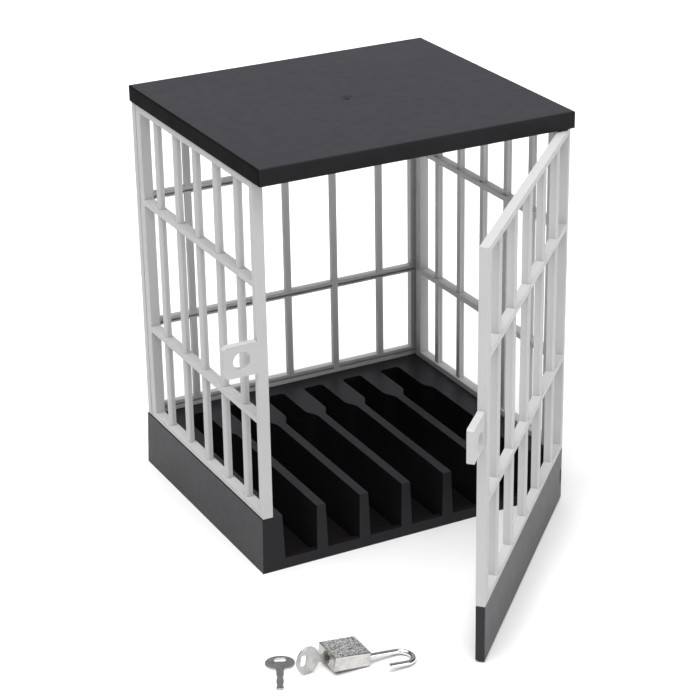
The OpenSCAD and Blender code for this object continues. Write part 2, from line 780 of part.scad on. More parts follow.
// Hollows in the back of the kick panel
module kick_cores() {
  first_x = door_free_x + kick_wall;
  last_x = -2 * door_t;
  core_h = kick_top - tongue_h - kick_wall - door_floor_gap - kick_wall;
  cell = (last_x - first_x + kick_wall) / kick_core_count;
  for (i = [0:kick_core_count - 1])
    translate([first_x + i * cell, -door_t / 2 + kick_wall, door_floor_gap + kick_wall])
      cube([cell - kick_wall, door_t, core_h]);
}

// Black kick panel along the foot of the door, notched for the base's knuckle
module door_kick_panel() {
  notch_x = knuckle_r + notch_gap;
  color(black_plastic)
    on_door()
      difference() {
        union() {
          translate([0, 0, door_floor_gap]) cylinder(h = kick_top - door_floor_gap, d = door_t);
          translate([door_free_x, -door_t / 2, door_floor_gap])
            cube([-door_free_x, door_t, kick_top - door_floor_gap]);
        }
        translate([-notch_x, -door_t, knuckle_z - knuckle_gap])
          cube([notch_x + door_t, 2 * door_t, knuckle_h + 2 * knuckle_gap]);
        translate([0, 0, door_floor_gap - past])
          cylinder(h = knuckle_z + knuckle_h + pin_past_knuckle + pin_end_gap - door_floor_gap + past,
            r = pin_r + pin_turn_gap);
        kick_cores();
        for (x = spread(3, tongue_pitch))
          translate([door_mid_x + x - tongue_len / 2 - tab_gap, -tongue_t / 2 - tab_gap,
              kick_top - tongue_h - tab_gap])
            cube([tongue_len + 2 * tab_gap, tongue_t + 2 * tab_gap, tongue_h + tab_gap + past]);
      }
}

// Steel pin from the roof into the top of the door
module upper_hinge_pin() {
  color(steel)
    translate([hinge_x, hinge_y, door_top - pin_in_door])
      cylinder(h = wall_z1 + pin_in_roof - door_top + pin_in_door, r = pin_r);
}

// Steel pin through the base's knuckle into the kick panel
module lower_hinge_pin() {
  color(steel)
    translate([hinge_x, hinge_y, knuckle_z - pin_past_knuckle])
      cylinder(h = knuckle_h + 2 * pin_past_knuckle, r = pin_r);
}

// Places its children, drawn in the padlock's own frame, on the floor
module on_padlock() {
  translate([padlock_x + lock_end, padlock_y, lock_floor_gap])
    rotate([0, lock_tilt, 0])
      translate([-lock_end, 0, 0])
        children();
}

// Cylinder along +X from x, at mid-thickness and sideways place y
module lock_rod(x, length, r, y = 0, z = lock_mid_z) {
  translate([x, y, z]) rotate([0, 90, 0]) cylinder(h = length, r = r);
}

// Padlock body with its bores, latch room and sunk panels
module padlock_body() {
  panel_l = lock_len - 2 * panel_border;
  panel_w = lock_w - 2 * panel_border;
  color(nickel)
    on_padlock()
      difference() {
        round_box(lock_len, lock_w, lock_t, lock_edge_r);
        for (z = [-past, lock_t - panel_depth])
          translate([0, 0, z]) linear_extrude(past + panel_depth) round_rect(panel_l, panel_w, lock_edge_r);
        lock_rod(leg_bore_x, lock_end - leg_bore_x + past, shackle_r + leg_gap, -leg_y);
        lock_rod(lock_end - short_leg_in - short_leg_gap, short_leg_in + short_leg_gap + past,
          shackle_r + leg_gap, leg_y);
        lock_rod(-lock_end - past, plug_end_x + plug_room + lock_end + past, plug_r + plug_gap);
        translate([latch_x - latch_w / 2 - latch_gap, latch_room_y, lock_mid_z - latch_h / 2 - latch_gap])
          cube([latch_w + 2 * latch_gap, leg_y - latch_room_y, latch_h + 2 * latch_gap]);
        translate([retain_x, retain_y, panel_depth - past])
          cylinder(h = lock_mid_z + plug_r + past, r = retain_r + retain_hold_gap);
      }
}

// Half ring of round bar in the XY plane, opening towards -X
module shackle_bow() {
  difference() {
    rotate_extrude() translate([shackle_span / 2, 0]) circle(shackle_r);
    translate([-shackle_span, -shackle_span, -shackle_span])
      cube([shackle_span, 2 * shackle_span, 2 * shackle_span]);
  }
}

// Shackle as closed: legs at y = -leg_y (long) and y = leg_y (short, notched)
module shackle_closed() {
  closed_end_x = leg_end_x - shackle_travel;
  short_end_x = lock_end - short_leg_in;
  lock_rod(closed_end_x, bow_closed_x - closed_end_x + eps, shackle_r, -leg_y);
  difference() {
    lock_rod(short_end_x, bow_closed_x - short_end_x + eps, shackle_r, leg_y);
    translate([latch_x - latch_w / 2 - latch_notch_gap, leg_y - shackle_r - past,
        lock_mid_z - shackle_r - past])
      cube([latch_w + 2 * latch_notch_gap, latch_bite + latch_notch_gap + past, 2 * (shackle_r + past)]);
  }
  translate([bow_closed_x, 0, lock_mid_z]) shackle_bow();
}

// Shackle pulled out and swung half a turn about its long leg
module padlock_shackle() {
  color(nickel)
    on_padlock()
      translate([shackle_travel, -leg_y, lock_mid_z])
        rotate([180, 0, 0])
          translate([0, leg_y, -lock_mid_z])
            shackle_closed();
}

// Cup at the end of the long leg that the spring pushes on
module shackle_spring_cap() {
  color(steel)
    on_padlock()
      difference() {
        lock_rod(leg_end_x - cap_len, cap_len, shackle_r, -leg_y);
        lock_rod(leg_end_x - cap_len - past, cap_cup_depth + past, cap_cup_r, -leg_y);
      }
}

// Coil of round wire along +Z, one tube from end to end
module coil_spring(coil_r, wire_r, length, turns) {
  steps = 8 * turns;
  sides = 6;
  rise = length - 2 * wire_r;
  points = [for (i = [0:steps], k = [0:sides - 1])
    let (a = 45 * i, b = 360 * k / sides, r = coil_r + wire_r * cos(b))
    [r * cos(a), r * sin(a), wire_r + rise * i / steps + wire_r * sin(b)]];
  walls = [for (i = [0:steps - 1], k = [0:sides - 1])
    let (a = sides * i + k, b = sides * i + (k + 1) % sides)
    each [[a, b, b + sides], [a, b + sides, a + sides]]];
  first = [for (k = [sides - 1:-1:0]) k];
  last = [for (k = [0:sides - 1]) sides * steps + k];
  polyhedron(points, concat([first], [for (w = walls) [w[0], w[1], w[2]]], [last]));
}

// Spring behind the long leg
module shackle_spring() {
  length = leg_end_x - cap_len - leg_bore_x;
  coil_r = shackle_r + leg_gap - shackle_coil_gap - shackle_wire_r;
  color(steel)
    on_padlock()
      translate([leg_bore_x, -leg_y, lock_mid_z])
        rotate([0, 90, 0]) coil_spring(coil_r, shackle_wire_r, length, shackle_coils);
}

// Plug with keyway, wafer slots, retaining groove and the cam pin at its inner end
module lock_plug() {
  color(brass)
    on_padlock()
      union() {
        difference() {
          lock_rod(plug_start_x, plug_end_x - plug_start_x, plug_r);
          translate([plug_start_x - past, -key_t / 2 - blade_gap, lock_mid_z - blade_w / 2 - blade_gap])
            cube([blade_in + past + blade_end_gap, key_t + 2 * blade_gap, blade_w + 2 * blade_gap]);
          for (x = wafer_places)
            translate([x - wafer_t / 2 - wafer_gap, -wafer_half_w - wafer_gap, lock_mid_z - plug_r - past])
              cube([wafer_t + 2 * wafer_gap, 2 * (wafer_half_w + wafer_gap), 2 * (plug_r + past)]);
          difference() {
            lock_rod(retain_x - plug_groove_w / 2, plug_groove_w, plug_r + past);
            lock_rod(retain_x - plug_groove_w / 2 - past, plug_groove_w + 2 * past, groove_r);
          }
        }
        lock_rod(plug_end_x - past, cam_end_x - plug_end_x + past, cam_pin_r, 0, lock_mid_z + cam_r);
      }
}

// Wafers, each with a window for the key's blade
module lock_wafers() {
  color(brass)
    on_padlock()
      for (x = wafer_places)
        difference() {
          translate([x - wafer_t / 2, -wafer_half_w, lock_mid_z - wafer_half_h])
            cube([wafer_t, 2 * wafer_half_w, 2 * wafer_half_h]);
          translate([x - wafer_t, -key_t / 2 - blade_gap, lock_mid_z - blade_w / 2 - blade_gap])
            cube([2 * wafer_t, key_t + 2 * blade_gap, blade_w + 2 * blade_gap]);
        }
}

// Pin across the plug's groove that keeps the plug in the body
module plug_retaining_pin() {
  color(steel)
    on_padlock()
      translate([retain_x, retain_y, panel_depth + retain_sink])
        cylinder(h = lock_mid_z + plug_r - panel_depth - 2 * retain_sink, r = retain_r);
}

// Latch that bites into the short leg, with a window for the plug's cam pin
module lock_latch() {
  window_low = lock_mid_z - cam_pin_r - latch_window_gap;
  color(steel)
    on_padlock()
      difference() {
        translate([latch_x - latch_w / 2, -latch_back, lock_mid_z - latch_h / 2])
          cube([latch_w, latch_nose_y + latch_back, latch_h]);
        translate([latch_x - latch_w, -latch_window_w / 2, window_low])
          cube([2 * latch_w, latch_window_w, cam_r + 2 * (cam_pin_r + latch_window_gap)]);
      }
}

// Spring behind the latch
module latch_spring() {
  color(steel)
    on_padlock()
      translate([latch_x, latch_room_y, lock_mid_z])
        rotate([-90, 0, 0])
          coil_spring(latch_coil_r, latch_wire_r, -latch_back - latch_room_y, latch_coils);
}

// Half the width of a key's blade at a share s of its length from the bow
function blade_half(s) =
  let (neck = key_neck / (blade_in + key_neck))
  blade_w / 2 - (s < neck ? 0 : blade_cut * (1 - cos(720 * (s - neck) / (1 - neck))) / 2);

// Outline of a key: oval bow at the origin, blade towards -Y, with a hole for a ring
module key_outline() {
  blade_len = blade_in + key_neck;
  steps = 36;
  root_a = acos(blade_w / bow_w);
  side = [for (i = [0:steps]) [blade_half(i / steps), -bow_len / 2 - (blade_len - tip_len) * i / steps]];
  difference() {
    polygon(concat(
      [for (i = [0:44]) let (a = -root_a + (180 + 2 * root_a) * i / 44)
        [bow_w / 2 * cos(a), bow_len / 2 * sin(a)]],
      [for (i = [0:steps]) [-side[i][0], side[i][1]]],
      [[-tip_w / 2, -bow_len / 2 - blade_len], [tip_w / 2, -bow_len / 2 - blade_len]],
      [for (i = [steps:-1:0]) side[i]]
    ));
    translate([0, ring_hole_out]) round_rect(ring_hole_w, ring_hole_h, ring_hole_r);
  }
}

// Key in the padlock, its bow upright
module lock_key() {
  color(nickel)
    on_padlock()
      translate([bow_x, key_t / 2, lock_mid_z])
        rotate([90, 0, 0]) rotate([0, 0, 90]) linear_extrude(key_t) key_outline();
}

// Spare key, flat on the floor
module spare_key() {
  color(nickel)
    translate([spare_x, spare_y, 0])
      rotate([0, 0, spare_turn]) linear_extrude(key_t) key_outline();
}

base_tray();
roof();
left_wall();
right_wall();
back_wall();
door_grille();
door_kick_panel();
upper_hinge_pin();
lower_hinge_pin();
padlock_body();
padlock_shackle();
shackle_spring_cap();
shackle_spring();
lock_plug();
lock_wafers();
plug_retaining_pin();
lock_latch();
latch_spring();
lock_key();
spare_key();
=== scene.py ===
"""Dresses the phone jail.

Rounds its moulded edges, finishes its plastics and metals, lights it and sets the camera.
"""

from __future__ import annotations

import logging
import math
from dataclasses import dataclass, field, replace
from enum import Enum

import bmesh
import bpy
from mathutils import Matrix, Vector

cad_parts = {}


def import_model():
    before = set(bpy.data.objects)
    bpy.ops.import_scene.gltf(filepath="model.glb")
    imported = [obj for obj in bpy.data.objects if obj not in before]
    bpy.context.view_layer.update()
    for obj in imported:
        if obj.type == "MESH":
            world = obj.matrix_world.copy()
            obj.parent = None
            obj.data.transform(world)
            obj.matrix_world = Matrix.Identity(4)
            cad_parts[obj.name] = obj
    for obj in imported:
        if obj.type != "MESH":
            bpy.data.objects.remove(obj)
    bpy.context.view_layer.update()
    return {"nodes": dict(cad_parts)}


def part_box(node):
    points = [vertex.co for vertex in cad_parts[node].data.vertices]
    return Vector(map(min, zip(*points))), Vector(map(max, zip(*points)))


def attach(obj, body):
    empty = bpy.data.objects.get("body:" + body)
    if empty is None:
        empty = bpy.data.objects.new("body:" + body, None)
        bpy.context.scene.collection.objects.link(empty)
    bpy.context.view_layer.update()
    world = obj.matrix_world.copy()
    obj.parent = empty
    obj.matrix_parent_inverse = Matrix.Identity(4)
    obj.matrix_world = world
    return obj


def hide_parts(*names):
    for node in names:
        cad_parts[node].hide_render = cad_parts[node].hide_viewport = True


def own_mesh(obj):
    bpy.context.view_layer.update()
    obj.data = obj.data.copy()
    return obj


LOG = logging.getLogger("phone_jail")
MM = 0.001
EDGE_RUB = "edge_rub"
# How far the padlock leans as it lies on the edge of its case and on the key's bow, in degrees.
LOCK_TILT = 6.8
# The Mix node's colour sockets go by number, because its other kinds of socket share their names.
MIX_FACTOR = 0
MIX_FIRST = 6
MIX_SECOND = 7
MIX_RESULT = 2

Triple = tuple[float, float, float]
Span = tuple[float, float]
Socket = bpy.types.NodeSocket
Piece = bpy.types.Object

WHOLE: Span = (0.0, 1.0)
MIDDLE: Span = (0.3, 0.7)


class Slot(Enum):
    """The record's material slots, named in each call that makes a new piece."""

    BLACK = "black_plastic"
    GREY = "grey_plastic"
    NICKEL = "nickel"
    SHACKLE = "shackle_steel"
    STEEL = "inner_steel"


class Sheen(Enum):
    """How much light a moulded face throws back: the shader's specular level."""

    SATIN = 0.34
    DULL = 0.2
    MATT = 0.08
    DEAD = 0.02


class BrushRun(Enum):
    """Which way a metal's fine lines run: how far the grain is drawn out along X, Y and Z."""

    ALONG = (30.0, 1.0, 1.0)
    ACROSS = (1.0, 30.0, 1.0)
    ROUND = (1.0, 6.0, 6.0)


class Graph:
    """One material's nodes, with a short call for each kind that the finishes use."""

    def __init__(self, name: str) -> None:
        """Starts a material with its shader and the piece's own coordinates.

        Args:
            name: the material's name.
        """
        self.material = bpy.data.materials.new(name)
        self.material.use_nodes = True
        self.nodes = self.material.node_tree.nodes
        self.links = self.material.node_tree.links
        self.shader = self.nodes["Principled BSDF"]
        self.place = self.nodes.new("ShaderNodeTexCoord").outputs["Object"]
        self.normal: Socket | None = None

    def mapped(self, stretch: Triple, turn: float) -> Socket:
        """Draws the coordinates out along the axes.

        Args:
            stretch: how many times longer the grain is along X, Y and Z.
            turn: the turn about Y, in degrees, of the axes that it is drawn along.

        Returns:
            The drawn-out coordinates.
        """
        mapping = self.nodes.new("ShaderNodeMapping")
        mapping.vector_type = "TEXTURE"
        mapping.inputs["Rotation"].default_value = (0.0, math.radians(turn), 0.0)
        mapping.inputs["Scale"].default_value = stretch
        self.links.new(self.place, mapping.inputs["Vector"])
        return mapping.outputs["Vector"]

    def noise(self, size: float, detail: float = 3.0, where: Socket | None = None) -> Socket:
        """Adds a soft random pattern.

        Args:
            size: the size of its spots, in metres.
            detail: how many finer layers it has.
            where: the coordinates it is laid on, the piece's own if none are given.

        Returns:
            The pattern, from 0 to 1.
        """
        noise = self.nodes.new("ShaderNodeTexNoise")
        noise.inputs["Scale"].default_value = 1.0 / size
        noise.inputs["Detail"].default_value = detail
        self.links.new(where or self.place, noise.inputs["Vector"])
        return noise.outputs["Fac"]

    def pits(self, size: float) -> Socket:
        """Adds a field of round pits.

        Args:
            size: the distance between pits, in metres.

        Returns:
            The height, lowest in the middle of each pit.
        """
        cells = self.nodes.new("ShaderNodeTexVoronoi")
        cells.feature = "SMOOTH_F1"
        cells.inputs["Scale"].default_value = 1.0 / size
        self.links.new(self.place, cells.inputs["Vector"])
        return cells.outputs["Distance"]

    def rub(self) -> Socket:
        """Reads the mark that a rounded edge carries.

        Returns:
            The mark, 1 on the rounding and 0 elsewhere.
        """
        mark = self.nodes.new("ShaderNodeAttribute")
        mark.attribute_name = EDGE_RUB
        return mark.outputs["Fac"]

    def ramp(self, value: Socket, source: Span, target: Span) -> Socket:
        """Maps a range of a pattern onto another range.

        Args:
            value: the pattern.
            source: the two ends of the pattern that count.
            target: what they become.

        Returns:
            The mapped pattern.
        """
        ramp = self.nodes.new("ShaderNodeMapRange")
        ramp.inputs["From Min"].default_value = source[0]
        ramp.inputs["From Max"].default_value = source[1]
        ramp.inputs["To Min"].default_value = target[0]
        ramp.inputs["To Max"].default_value = target[1]
        self.links.new(value, ramp.inputs["Value"])
        return ramp.outputs["Result"]

    def times(self, first: Socket, second: Socket) -> Socket:
        """Multiplies two patterns.

        Args:
            first: a pattern.
            second: the pattern that it is multiplied by.

        Returns:
            The product.
        """
        product = self.nodes.new("ShaderNodeMath")
        product.operation = "MULTIPLY"
        self.links.new(first, product.inputs[0])
        self.links.new(second, product.inputs[1])
        return product.outputs["Value"]

    def tint(self, factor: Socket, first: Triple | Socket, second: Triple) -> Socket:
        """Blends from one colour to another by a pattern.

        Args:
            factor: the pattern, 0 for the first colour and 1 for the second.
            first: a colour, or an earlier blend.
            second: a colour.

        Returns:
            The blended colour.
        """
        mix = self.nodes.new("ShaderNodeMix")
        mix.data_type = "RGBA"
        self.links.new(factor, mix.inputs[MIX_FACTOR])
        if isinstance(first, tuple):
            mix.inputs[MIX_FIRST].default_value = (*first, 1.0)
        else:
            self.links.new(first, mix.inputs[MIX_FIRST])
        mix.inputs[MIX_SECOND].default_value = (*second, 1.0)
        return mix.outputs[MIX_RESULT]

    def dent(self, height: Socket, depth: float) -> None:
        """Adds one layer of relief on top of those before it.

        Args:
            height: the pattern of heights.
            depth: how deep the whole pattern is, in metres.
        """
        bump = self.nodes.new("ShaderNodeBump")
        bump.inputs["Distance"].default_value = depth
        self.links.new(height, bump.inputs["Height"])
        if self.normal is not None:
            self.links.new(self.normal, bump.inputs["Normal"])
        self.normal = bump.outputs["Normal"]

    def finish(self, colour: Socket, roughness: Socket) -> bpy.types.Material:
        """Joins the patterns to the shader.

        Args:
            colour: the blended colour.
            roughness: the pattern of roughness.

        Returns:
            The finished material.
        """
        self.links.new(colour, self.shader.inputs["Base Color"])
        self.links.new(roughness, self.shader.inputs["Roughness"])
        if self.normal is not None:
            self.links.new(self.normal, self.shader.inputs["Normal"])
        return self.material


@dataclass(frozen=True)
class MouldedPlastic:
    """Injection-moulded plastic with a spark-eroded grain, clouding, rubbed edges and stray scratches."""

    name: str
    colour: Triple
    cloud: Triple
    rubbed: Triple
    roughness: Span
    sheen: Sheen = Sheen.SATIN
    sheen_tint: Triple = (1.0, 1.0, 1.0)
    rub_share: float = 0.5
    rub_span: Span = (0.4, 0.62)
    rubs_per_wave: float = 3.0
    patch_layers: float = 5.0
    cloud_size: float = 38 * MM
    cloud_span: Span = (0.35, 0.65)
    cloud_layers: float = 4.0
    glosses_per_cloud: float = 6.0
    grain_size: float = 0.45 * MM
    grain_depth: float = 0.035 * MM
    grain_layers: float = 2.0
    wave_size: float = 24 * MM
    wave_depth: float = 0.03 * MM
    wave_layers: float = 1.0
    scratch_size: float = 0.7 * MM
    scratch_depth: float = 0.02 * MM
    scratch_layers: float = 1.0
    scratch_span: Span = (0.70, 0.78)
    scratch_stretch: Triple = (18.0, 1.0, 9.0)
    scratch_turn: float = 32.0

    def make(self) -> bpy.types.Material:
        """Builds the material.

        Returns:
            The plastic, ready to be put on a piece.
        """
        graph = Graph(self.name)
        graph.shader.inputs["Specular IOR Level"].default_value = self.sheen.value
        graph.shader.inputs["Specular Tint"].default_value = (*self.sheen_tint, 1.0)
        clouds = graph.ramp(graph.noise(self.cloud_size, self.cloud_layers), self.cloud_span, WHOLE)
        rubs = graph.noise(self.wave_size / self.rubs_per_wave, self.patch_layers)
        patches = graph.ramp(rubs, self.rub_span, (0.0, self.rub_share))
        drawn_out = graph.mapped(self.scratch_stretch, self.scratch_turn)
        scratches = graph.noise(self.scratch_size, self.scratch_layers, drawn_out)
        marks = graph.ramp(scratches, self.scratch_span, WHOLE)
        colour = graph.tint(clouds, self.colour, self.cloud)
        colour = graph.tint(graph.times(graph.rub(), patches), colour, self.rubbed)
        graph.dent(graph.noise(self.wave_size, self.wave_layers), self.wave_depth)
        graph.dent(graph.noise(self.grain_size, self.grain_layers), self.grain_depth)
        graph.dent(marks, self.scratch_depth)
        gloss = graph.noise(self.cloud_size / self.glosses_per_cloud, self.patch_layers)
        return graph.finish(colour, graph.ramp(gloss, MIDDLE, self.roughness))


@dataclass(frozen=True)
class BrushedMetal:
    """Plated or bare metal with fine lines one way, dull patches and brighter rubbed edges."""

    name: str
    colour: Triple
    dull: Triple
    rubbed: Triple
    roughness: Span
    run: BrushRun = BrushRun.ALONG
    turn: float = 0.0
    line_size: float = 0.16 * MM
    line_depth: float = 0.012 * MM
    line_layers: float = 2.0
    line_span: Span = (0.25, 0.75)
    patch_size: float = 4 * MM
    patch_layers: float = 5.0
    patch_span: Span = (0.36, 0.66)

    def make(self) -> bpy.types.Material:
        """Builds the material.

        Returns:
            The metal, ready to be put on a piece.
        """
        graph = Graph(self.name)
        graph.shader.inputs["Metallic"].default_value = 1.0
        lines = graph.noise(self.line_size, self.line_layers, graph.mapped(self.run.value, self.turn))
        patches = graph.ramp(graph.noise(self.patch_size, self.patch_layers), self.patch_span, WHOLE)
        colour = graph.tint(patches, self.colour, self.dull)
        colour = graph.tint(graph.rub(), colour, self.rubbed)
        graph.dent(lines, self.line_depth)
        return graph.finish(colour, graph.ramp(lines, self.line_span, self.roughness))


@dataclass(frozen=True)
class HammeredMetal:
    """Plated metal with a fine hammered face, with painted shade darkening it down in its pits."""

    name: str
    crest: Triple
    pit_painted_shade: Triple
    roughness: Span
    metal_share: float = 0.45
    pit_size: float = 0.9 * MM
    pit_depth: float = 0.16 * MM
    speck_size: float = 1.0 * MM
    speck_depth: float = 0.06 * MM
    speck_layers: float = 3.0
    pit_shade_span: Span = (0.62, 0.40)

    def make(self) -> bpy.types.Material:
        """Builds the material.

        Returns:
            The metal, ready to be put on a piece.
        """
        graph = Graph(self.name)
        graph.shader.inputs["Metallic"].default_value = self.metal_share
        pits = graph.pits(self.pit_size)
        specks = graph.noise(self.speck_size, self.speck_layers)
        # Painted shade: the colour goes to the dark pit colour where the speckled relief dips.
        colour = graph.tint(graph.ramp(specks, self.pit_shade_span, WHOLE), self.crest, self.pit_painted_shade)
        graph.dent(pits, self.pit_depth)
        graph.dent(specks, self.speck_depth)
        return graph.finish(colour, graph.ramp(specks, MIDDLE, self.roughness))


@dataclass(frozen=True)
class StudioPaper:
    """The pale paper that the object stands on."""

    name: str = "studio_paper"
    colour: Triple = (0.75, 0.75, 0.75)
    shade: Triple = (0.735, 0.735, 0.74)
    roughness: Span = (0.75, 0.9)
    sheen: float = 0.1
    fibre_size: float = 1.4 * MM
    fibre_layers: float = 4.0

    def make(self) -> bpy.types.Material:
        """Builds the material.

        Returns:
            The paper, ready to be laid on the floor.
        """
        graph = Graph(self.name)
        graph.shader.inputs["Specular IOR Level"].default_value = self.sheen
        fibres = graph.noise(self.fibre_size, self.fibre_layers)
        colour = graph.tint(fibres, self.colour, self.shade)
        return graph.finish(colour, graph.ramp(fibres, MIDDLE, self.roughness))


@dataclass(frozen=True)
class FinishShelf:
    """Every finish that the object uses, each made once."""

    black: bpy.types.Material
    black_panel: bpy.types.Material
    black_edge: bpy.types.Material
    black_side_shade: bpy.types.Material
    black_slot_shade: bpy.types.Material
    grey: bpy.types.Material
    hammered: bpy.types.Material
    plate: bpy.types.Material
    key_metal: bpy.types.Material
    shackle: bpy.types.Material
    steel: bpy.types.Material
    brass: bpy.types.Material

    @classmethod
    def stocked(cls) -> FinishShelf:
        """Makes all the finishes.

        Returns:
            The shelf of finishes.
        """
        black = MouldedPlastic(
            name="black_moulded_plastic",
            colour=(0.0092, 0.0088, 0.0102),
            cloud=(0.0112, 0.0108, 0.0124),
            rubbed=(0.045, 0.044, 0.048),
            roughness=(0.37, 0.42),
            sheen=Sheen.DULL,
            sheen_tint=(0.92, 0.90, 1.0),
        )
        black_panel = replace(black, name="black_satin_panel", sheen=Sheen.SATIN)
        black_edge = MouldedPlastic(
            name="black_matt_rim",
            colour=(0.0110, 0.0105, 0.0115),
            cloud=(0.0150, 0.0145, 0.0160),
            rubbed=(0.050, 0.049, 0.052),
            roughness=(0.48, 0.60),
            sheen=Sheen.MATT,
        )
        # Painted shade: the roof's left and right rims are darker and duller than its front and back
        # rims.
        black_side_shade = MouldedPlastic(
            name="black_side_painted_shade",
            colour=(0.0062, 0.0060, 0.0066),
            cloud=(0.0080, 0.0078, 0.0086),
            rubbed=(0.030, 0.0295, 0.032),
            roughness=(0.55, 0.66),
            sheen=Sheen.DEAD,
        )
        # Painted shade: the faces down inside the phone slots get this darker, duller black.
        black_slot_shade = MouldedPlastic(
            name="black_slot_painted_shade",
            colour=(0.0060, 0.0050, 0.0053),
            cloud=(0.0076, 0.0064, 0.0068),
            rubbed=(0.020, 0.018, 0.019),
            roughness=(0.55, 0.68),
            sheen=Sheen.MATT,
        )
        grey = MouldedPlastic(
            name="grey_moulded_plastic",
            colour=(0.425, 0.425, 0.428),
            cloud=(0.445, 0.445, 0.448),
            rubbed=(0.54, 0.54, 0.54),
            roughness=(0.40, 0.55),
            rub_share=0.1,
            grain_depth=0.02 * MM,
        )
        hammered = HammeredMetal(
            name="hammered_nickel",
            crest=(0.550, 0.545, 0.535),
            # The pit colour is painted shade for the hammered face's dips.
            pit_painted_shade=(0.130, 0.129, 0.127),
            roughness=(0.22, 0.42),
        )
        plate = BrushedMetal(
            name="brushed_nickel",
            colour=(0.560, 0.552, 0.535),
            dull=(0.425, 0.418, 0.405),
            rubbed=(0.68, 0.67, 0.65),
            roughness=(0.18, 0.34),
            turn=LOCK_TILT,
        )
        key_metal = BrushedMetal(
            name="key_nickel",
            colour=(0.445, 0.442, 0.435),
            dull=(0.340, 0.337, 0.332),
            rubbed=(0.59, 0.585, 0.575),
            roughness=(0.20, 0.38),
            run=BrushRun.ACROSS,
        )
        shackle = BrushedMetal(
            name="bright_shackle_steel",
            colour=(0.80, 0.80, 0.80),
            dull=(0.66, 0.66, 0.67),
            rubbed=(0.88, 0.88, 0.88),
            roughness=(0.12, 0.24),
            turn=LOCK_TILT,
            line_depth=0.006 * MM,
        )
        steel = BrushedMetal(
            name="drawn_steel",
            colour=(0.45, 0.45, 0.46),
            dull=(0.33, 0.33, 0.34),
            rubbed=(0.60, 0.60, 0.60),
            roughness=(0.22, 0.40),
            run=BrushRun.ROUND,
        )
        # Painted shade: the brass is darkened far below bright brass, standing in for the shade in the
        # keyway at the plug's face.
        brass = BrushedMetal(
            name="brass_darkened_painted_shade",
            colour=(0.16, 0.142, 0.11),
            dull=(0.085, 0.075, 0.06),
            rubbed=(0.28, 0.25, 0.19),
            roughness=(0.20, 0.36),
            run=BrushRun.ROUND,
        )
        plastics = (black, black_panel, black_edge, black_side_shade, black_slot_shade, grey)
        metals = (hammered, plate, key_metal, shackle, steel, brass)
        return cls(*(finish.make() for finish in plastics + metals))


@dataclass(frozen=True)
class Rounding:
    """How moulded or stamped edges are eased: the radius, the steps, and how sharp an edge gets it."""

    radius: float
    steps: int = 3
    sharper_than: float = 40.0
    smooth_below: float = 34.0
    weld_within: float = 0.002 * MM
    flat_within: float = 0.3

    def eased(self, node: Piece, name: str) -> Piece:
        """Copies a CAD node with its sharp outer edges rounded and marked.

        Args:
            node: the CAD node.
            name: the new piece's name.

        Returns:
            The new piece, in the node's place.
        """
        shape = bmesh.new()
        shape.from_mesh(node.data)
        bmesh.ops.remove_doubles(shape, verts=shape.verts, dist=self.weld_within)
        flat = math.radians(self.flat_within)
        bmesh.ops.dissolve_limit(shape, angle_limit=flat, verts=shape.verts, edges=shape.edges)
        rub = shape.faces.layers.float.new(EDGE_RUB)
        limit = math.radians(self.sharper_than)
        sharp = [edge for edge in shape.edges if edge.calc_face_angle_signed(0.0) > limit]
        if self.radius > 0 and sharp:
            made = bmesh.ops.bevel(
                shape,
                geom=sharp,
                offset=self.radius,
                offset_type="OFFSET",
                segments=self.steps,
                profile=0.5,
                affect="EDGES",
                clamp_overlap=True,
            )
            for face in made["faces"]:
                face[rub] = 1.0
        bmesh.ops.recalc_face_normals(shape, faces=shape.faces)
        mesh = bpy.data.meshes.new(name)
        shape.to_mesh(mesh)
        shape.free()
        mesh.shade_smooth()
        mesh.set_sharp_from_angle(angle=math.radians(self.smooth_below))
        piece = bpy.data.objects.new(name, mesh)
        bpy.context.scene.collection.objects.link(piece)
        return settled(piece)


def settled(piece: Piece) -> Piece:
    """Gives a piece normals that keep its flat faces flat beside their rounded edges.

    Args:
        piece: the piece, which keeps its name and place.

    Returns:
        The same piece, with the normals in its mesh and no modifier left.
    """
    weigh = piece.modifiers.new("flat_faces_first", "WEIGHTED_NORMAL")
    weigh.keep_sharp = True
    bpy.context.view_layer.update()
    graph = bpy.context.evaluated_depsgraph_get()
    plain = piece.data
    weighed = bpy.data.meshes.new_from_object(
        piece.evaluated_get(graph),
        preserve_all_data_layers=True,
        depsgraph=graph,
    )
    piece.modifiers.clear()
    piece.data = weighed
    bpy.data.meshes.remove(plain)
    piece.data.name = piece.name
    return piece


@dataclass
class SubAssembly:
    """A group of pieces on named bodies, with the shared ways to make and paint them."""

    nodes: dict[str, Piece]
    shelf: FinishShelf
    made: dict[str, Piece] = field(default_factory=dict)

    def ease(self, node: str, body: str, slot: Slot, rounding: Rounding) -> Piece:
        """Stands a rounded copy in for a CAD node.

        Args:
            node: the CAD node's name.
            body: the body that it moves with.
            slot: not used.
            rounding: how its edges are eased.

        Returns:
            The new piece.
        """
        piece = rounding.eased(self.nodes[node], f"{node}_finished")
        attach(piece, body)
        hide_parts(node)
        self.made[piece.name] = piece
        return piece

    def paint(self, piece: Piece, *materials: bpy.types.Material) -> None:
        """Puts materials on a piece in place of those it has.

        Args:
            piece: the piece.
            materials: its materials, in the order that its faces number them.
        """
        piece.data.materials.clear()
        for material in materials:
            piece.data.materials.append(material)

    def paint_node(self, node: str, material: bpy.types.Material) -> None:
        """Gives a CAD node that stays its finish."""
        self.paint(self.nodes[node], material)
        self.made[node] = self.nodes[node]

    def report(self) -> None:
        """Logs each piece of the group."""
        for name, piece in self.made.items():
            LOG.info("%s: %s, %d faces", type(self).__name__, name, len(piece.data.polygons))


